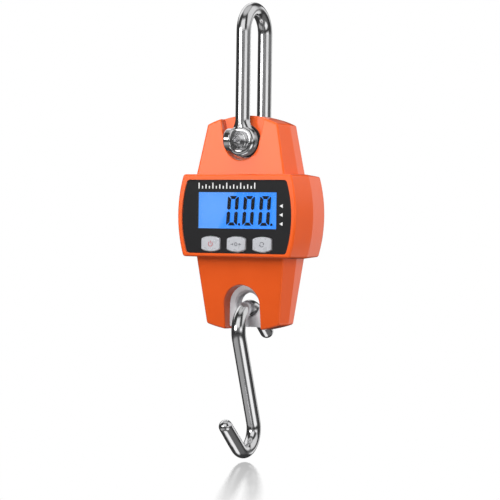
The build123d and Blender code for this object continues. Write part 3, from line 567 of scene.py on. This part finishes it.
def digit_segments(width, height):
    """The six lit segments of a nought, upright, about its lower left corner, in millimetres."""
    half = SEGMENT_WIDTH / 2
    gap = SEGMENT_GAP
    cap = SEGMENT_CAP
    left, right = 0.0, width
    middle = height / 2
    inner_left, inner_right = left + SEGMENT_WIDTH, right - SEGMENT_WIDTH
    top = [
        (left + half + gap, height),
        (right - half - gap, height),
        (inner_right - gap, height - cap),
        (inner_left + gap, height - cap),
    ]
    corner = height - gap
    upper_left = [
        (left, corner - half * CORNER_CUT_LOW),
        (left + half * CORNER_CUT_ACROSS, corner - half * CORNER_CUT_HIGH),
        (inner_left, corner - cap),
        (inner_left, middle + half),
        (left + half, middle + gap * 2),
        (left, middle + half),
    ]

    def flip_x(points):
        return [(width - x, z) for x, z in points]

    def flip_z(points):
        return [(x, height - z) for x, z in points]

    return [top, flip_z(top), upper_left, flip_x(upper_left), flip_z(upper_left), flip_z(flip_x(upper_left))]


def display_characters(ink):
    """Three noughts and two points between the display's glasses."""
    window_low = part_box("lcd_window")[0]
    origin_x, origin_z = window_low.x - WINDOW_GAP * MM, window_low.z - WINDOW_GAP * MM
    thickness = SEGMENT_THICKNESS * MM
    y_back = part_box("lcd_rear_glass")[0].y - SEGMENT_LIFT * MM + thickness

    def place(points, shift):
        return [
            (origin_x + (shift + x + DIGIT_SLANT * z) * MM, origin_z + (DIGIT_BASE + z) * MM)
            for x, z in points
        ]

    outlines = []
    for digit in range(DIGIT_COUNT):
        left = DIGIT_LEFT + digit * DIGIT_PITCH
        for segment in digit_segments(DIGIT_WIDTH, DIGIT_HEIGHT):
            outlines.append(place(segment, left))
        if digit in POINT_AFTER:
            square = [(0, 0), (POINT_SIZE, 0), (POINT_SIZE, POINT_SIZE), (0, POINT_SIZE)]
            outlines.append(place(square, left + DIGIT_WIDTH + POINT_GAP))
    flat_piece("display_characters", outlines, y_back, thickness, ink, "scale_body")


def tick_marks(ink):
    """A plain ruler above the display, whose every second tick is taller and every fourth tallest."""
    window_low, window_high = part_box("lcd_window")
    base = window_high.z + TICK_BASE * MM
    outlines = []
    for index in range(TICK_COUNT):
        level = (index % 2 == 0) + (index % 4 == 0)
        left = window_low.x + (TICK_START + index * TICK_PITCH) * MM
        right = left + TICK_WIDTH * MM
        top = base + TICK_HEIGHTS[level] * MM
        outlines.append([(left, base), (right, base), (right, top), (left, top)])
    print_on("face_panel", "panel_ticks", outlines, ink, "scale_body")


def unit_pointers(ink):
    """Three small pointers at the display's right, one for each unit that it can show."""
    low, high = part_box("lcd_window")
    tip_x = high.x + POINTER_INSET * MM
    back_x = tip_x + POINTER_LENGTH * MM
    half = POINTER_HEIGHT / 2 * MM
    outlines = []
    for height in POINTER_HEIGHTS:
        z = low.z + height * MM
        outlines.append([(tip_x, z), (back_x, z + half), (back_x, z - half)])
    print_on("face_panel", "panel_pointers", outlines, ink, "scale_body")


def around(radius, degrees):
    """A point on a circle about the middle of a symbol."""
    angle = math.radians(degrees)
    return radius * math.cos(angle), radius * math.sin(angle)


def arc_band(radius, width, start, end):
    """The outline of a bent bar from one angle to another."""
    turns = [start + (end - start) * step / ARC_STEPS for step in range(ARC_STEPS + 1)]
    outer = [around(radius + width / 2, turn) for turn in turns]
    inner = [around(radius - width / 2, turn) for turn in turns]
    return outer + inner[::-1]


def bar(x, z, width, height):
    """The outline of an upright bar about its centre."""
    left, right = x - width / 2, x + width / 2
    low, high = z - height / 2, z + height / 2
    return [(left, low), (right, low), (right, high), (left, high)]


def power_icon():
    """A ring open at the top, with an upright bar in the opening."""
    half = POWER_OPENING / 2
    ring = arc_band(POWER_R, POWER_LINE, POWER_TOP + half, POWER_TOP + 360 - half)
    return [ring, bar(0, POWER_BAR_Z, POWER_LINE, POWER_BAR_HEIGHT)]


def tare_icon():
    """An arrow from each side towards a nought."""
    shapes = [arc_band(NOUGHT_R, NOUGHT_LINE, turn, turn + 180) for turn in (0, 180)]
    for side in (-1, 1):
        back_x = side * ARROW_BACK_X
        shapes.append(bar(side * ARROW_SHAFT_X, 0, ARROW_SHAFT_LENGTH, NOUGHT_LINE))
        shapes.append([(side * ARROW_TIP_X, 0), (back_x, ARROW_HALF_HEIGHT), (back_x, -ARROW_HALF_HEIGHT)])
    return shapes


def unit_icon():
    """Two arrows going round."""
    shapes = []
    for turn in (0, 180):
        start = turn + CYCLE_FROM
        shapes.append(arc_band(CYCLE_R, CYCLE_LINE, start, turn + CYCLE_TO))
        shapes.append([
            around(CYCLE_R - CYCLE_HEAD_HALF, start),
            around(CYCLE_R + CYCLE_HEAD_HALF, start),
            around(CYCLE_R, start - CYCLE_HEAD_TURN),
        ])
    return shapes


def key_icons(red_ink, grey_ink):
    """A printed symbol on each key."""
    icons = (
        ("power", power_icon(), red_ink),
        ("tare", tare_icon(), grey_ink),
        ("unit", unit_icon(), grey_ink),
    )
    for name, shapes, ink in icons:
        low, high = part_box(f"key_{name}")
        centre = (low + high) / 2
        outlines = [[(centre.x + x * MM, centre.z + z * MM) for x, z in shape] for shape in shapes]
        print_on(f"key_{name}", f"icon_{name}", outlines, ink, f"{name}_button")


# ---------------------------------------------------------------- stage, light and camera


def heading(azimuth, elevation):
    """The direction at an azimuth right of the display's own and an elevation, in degrees."""
    turn, rise = math.radians(azimuth), math.radians(elevation)
    return Vector((math.sin(turn) * math.cos(rise), -math.cos(turn) * math.cos(rise), math.sin(rise)))


def add_camera():
    """A camera that looks at its target, rolled a little about its view."""
    back = heading(CAMERA_YAW, CAMERA_PITCH)
    place = Vector(CAMERA_TARGET) + back * CAMERA_DISTANCE
    right = Vector((0, 0, 1)).cross(back).normalized()
    up = back.cross(right)
    roll = math.radians(CAMERA_ROLL)
    tilted_right = right * math.cos(roll) - up * math.sin(roll)
    tilted_up = right * math.sin(roll) + up * math.cos(roll)
    turn = Matrix((tilted_right, tilted_up, back)).transposed()
    data = bpy.data.cameras.new("camera")
    data.lens = CAMERA_LENS
    data.sensor_width = CAMERA_SENSOR
    camera = bpy.data.objects.new("camera", data)
    camera.matrix_world = Matrix.Translation(place) @ turn.to_4x4()
    bpy.context.scene.collection.objects.link(camera)
    bpy.context.scene.camera = camera


def add_floor():
    """A white floor just below the hook, which neither lights the object nor shows in its chrome."""
    level = cad_bounds[0][2] - FLOOR_GAP
    mesh = bmesh.new()
    bmesh.ops.create_grid(mesh, x_segments=1, y_segments=1, size=FLOOR_SIZE)
    bmesh.ops.translate(mesh, verts=mesh.verts, vec=(0, 0, level))
    data = bpy.data.meshes.new("floor")
    mesh.to_mesh(data)
    mesh.free()
    floor = bpy.data.objects.new("floor", data)
    bpy.context.scene.collection.objects.link(floor)
    data.materials.append(floor_material())
    floor.visible_glossy = False
    floor.visible_diffuse = False


def floor_material():
    """Evenly white, with a soft mirror that fades out around the object.

    The mirror is perfectly sharp, so that the world can answer its rays with white, and a grain
    in its normal blurs it, more across the picture than along it.
    """
    shader = Shader("floor")
    spot = shader.add("ShaderNodeTexCoord").outputs["Object"]
    away = shader.add("ShaderNodeVectorMath", operation="LENGTH")
    shader.link(spot, away.inputs[0])
    polish = shader.span(away.outputs["Value"], FLOOR_DULL_FROM, FLOOR_POLISH_TO)
    grain = shader.add("ShaderNodeTexWhiteNoise", noise_dimensions="3D")
    shader.link(spot, grain.inputs["Vector"])
    tilt = shader.add("ShaderNodeVectorMath", operation="MULTIPLY_ADD")
    tilt.inputs[1].default_value = FLOOR_SCATTER
    tilt.inputs[2].default_value = (-FLOOR_SCATTER[0] / 2, -FLOOR_SCATTER[1] / 2, 1.0)
    shader.link(grain.outputs["Color"], tilt.inputs[0])
    turned = shader.add("ShaderNodeVectorRotate", rotation_type="Z_AXIS")
    turned.inputs["Angle"].default_value = math.radians(CAMERA_YAW)
    shader.link(tilt.outputs["Vector"], turned.inputs["Vector"])
    normal = shader.add("ShaderNodeVectorMath", operation="NORMALIZE")
    shader.link(turned.outputs["Vector"], normal.inputs[0])
    mirror = shader.add("ShaderNodeBsdfGlossy")
    mirror.inputs["Color"].default_value = (FLOOR_MIRROR, FLOOR_MIRROR, FLOOR_MIRROR, 1.0)
    mirror.inputs["Roughness"].default_value = 0.0
    shader.link(normal.outputs["Vector"], mirror.inputs["Normal"])
    glow = shader.add("ShaderNodeEmission")
    surface = shader.mix_shaders(polish, glow.outputs["Emission"], mirror.outputs["BSDF"])
    shader.link(surface, shader.nodes["Material Output"].inputs["Surface"])
    return shader.material


def softbox(name, azimuth, elevation, width, height, radiance, distance):
    """A soft rectangular light aimed at the object, which polished surfaces do not mirror."""
    towards = heading(CAMERA_YAW + azimuth, elevation)
    data = bpy.data.lights.new(name, "AREA")
    data.shape = "RECTANGLE"
    data.size = 2 * distance * math.tan(math.radians(width / 2))
    data.size_y = 2 * distance * math.tan(math.radians(height / 2))
    data.energy = WATTS_FOR_RADIANCE * radiance * data.size * data.size_y
    light = bpy.data.objects.new(name, data)
    place = Vector(CAMERA_TARGET) + towards * distance
    light.matrix_world = Matrix.Translation(place) @ towards.to_track_quat("Z", "Y").to_matrix().to_4x4()
    light.visible_camera = False
    light.visible_glossy = False
    bpy.context.scene.collection.objects.link(light)


def tent_panel(tree, azimuth, elevation, panel):
    """The brightness that one soft-edged panel gives in every direction."""
    _, turn, rise, width, height, edge, brightness = panel
    across = tree.math("PINGPONG", tree.math("SUBTRACT", azimuth, turn), 180)
    upward = tree.math("ABSOLUTE", tree.math("SUBTRACT", elevation, rise))
    inside = tree.span(across, (width + edge) / 2, (width - edge) / 2, 0, brightness)
    level = tree.span(upward, (height + edge) / 2, (height - edge) / 2)
    return tree.math("MULTIPLY", inside, level)


def tent(tree):
    """The brightness of the tent in every direction."""
    direction = tree.add("ShaderNodeTexCoord").outputs["Generated"]
    yaw = math.radians(CAMERA_YAW)
    rightward = tree.along(direction, (math.cos(yaw), math.sin(yaw), 0))
    towards = tree.along(direction, (math.sin(yaw), -math.cos(yaw), 0))
    azimuth = tree.math("DEGREES", tree.math("ARCTAN2", rightward, towards))
    elevation = tree.math("DEGREES", tree.math("ARCSINE", tree.along(direction, (0, 0, 1))))
    brightness = TENT_DARK
    for panel in TENT_PANELS:
        brightness = tree.math("MAXIMUM", brightness, tent_panel(tree, azimuth, elevation, panel))
    return brightness


def add_world():
    """White to look at, an even fill for matt surfaces, and the tent for polished ones.

    Rays from the floor's sharp mirror also meet white, bright enough to come out as white.
    """
    world = bpy.data.worlds.new("studio")
    bpy.context.scene.world = world
    tree = NodeTree(world)
    tree.nodes.clear()

    def background(strength):
        node = tree.add("ShaderNodeBackground")
        node.inputs["Color"].default_value = (1, 1, 1, 1)
        if isinstance(strength, float):
            node.inputs["Strength"].default_value = strength
        else:
            tree.link(strength, node.inputs["Strength"])
        return node.outputs["Background"]

    path = tree.add("ShaderNodeLightPath")
    matt = tree.mix_shaders(path.outputs["Is Camera Ray"], background(FILL), background(1.0))
    polished = tree.mix_shaders(
        path.outputs["Is Singular Ray"], background(tent(tree)), background(1.0 / FLOOR_MIRROR)
    )
    studio = tree.mix_shaders(path.outputs["Is Glossy Ray"], matt, polished)
    tree.link(studio, tree.add("ShaderNodeOutputWorld").inputs["Surface"])


# ---------------------------------------------------------------- put together

bpy.context.scene.view_settings.view_transform = "Standard"

dress_cad_nodes(build_materials())
display_characters(liquid_crystal("display_segments"))
white_ink = printed_ink("white_ink", (0.86, 0.86, 0.86))
tick_marks(white_ink)
unit_pointers(white_ink)
key_icons(printed_ink("red_ink", (0.45, 0.05, 0.06)), printed_ink("grey_ink", (0.10, 0.10, 0.12)))

add_camera()
add_floor()
add_world()
for light in SOFTBOXES:
    softbox(*light)
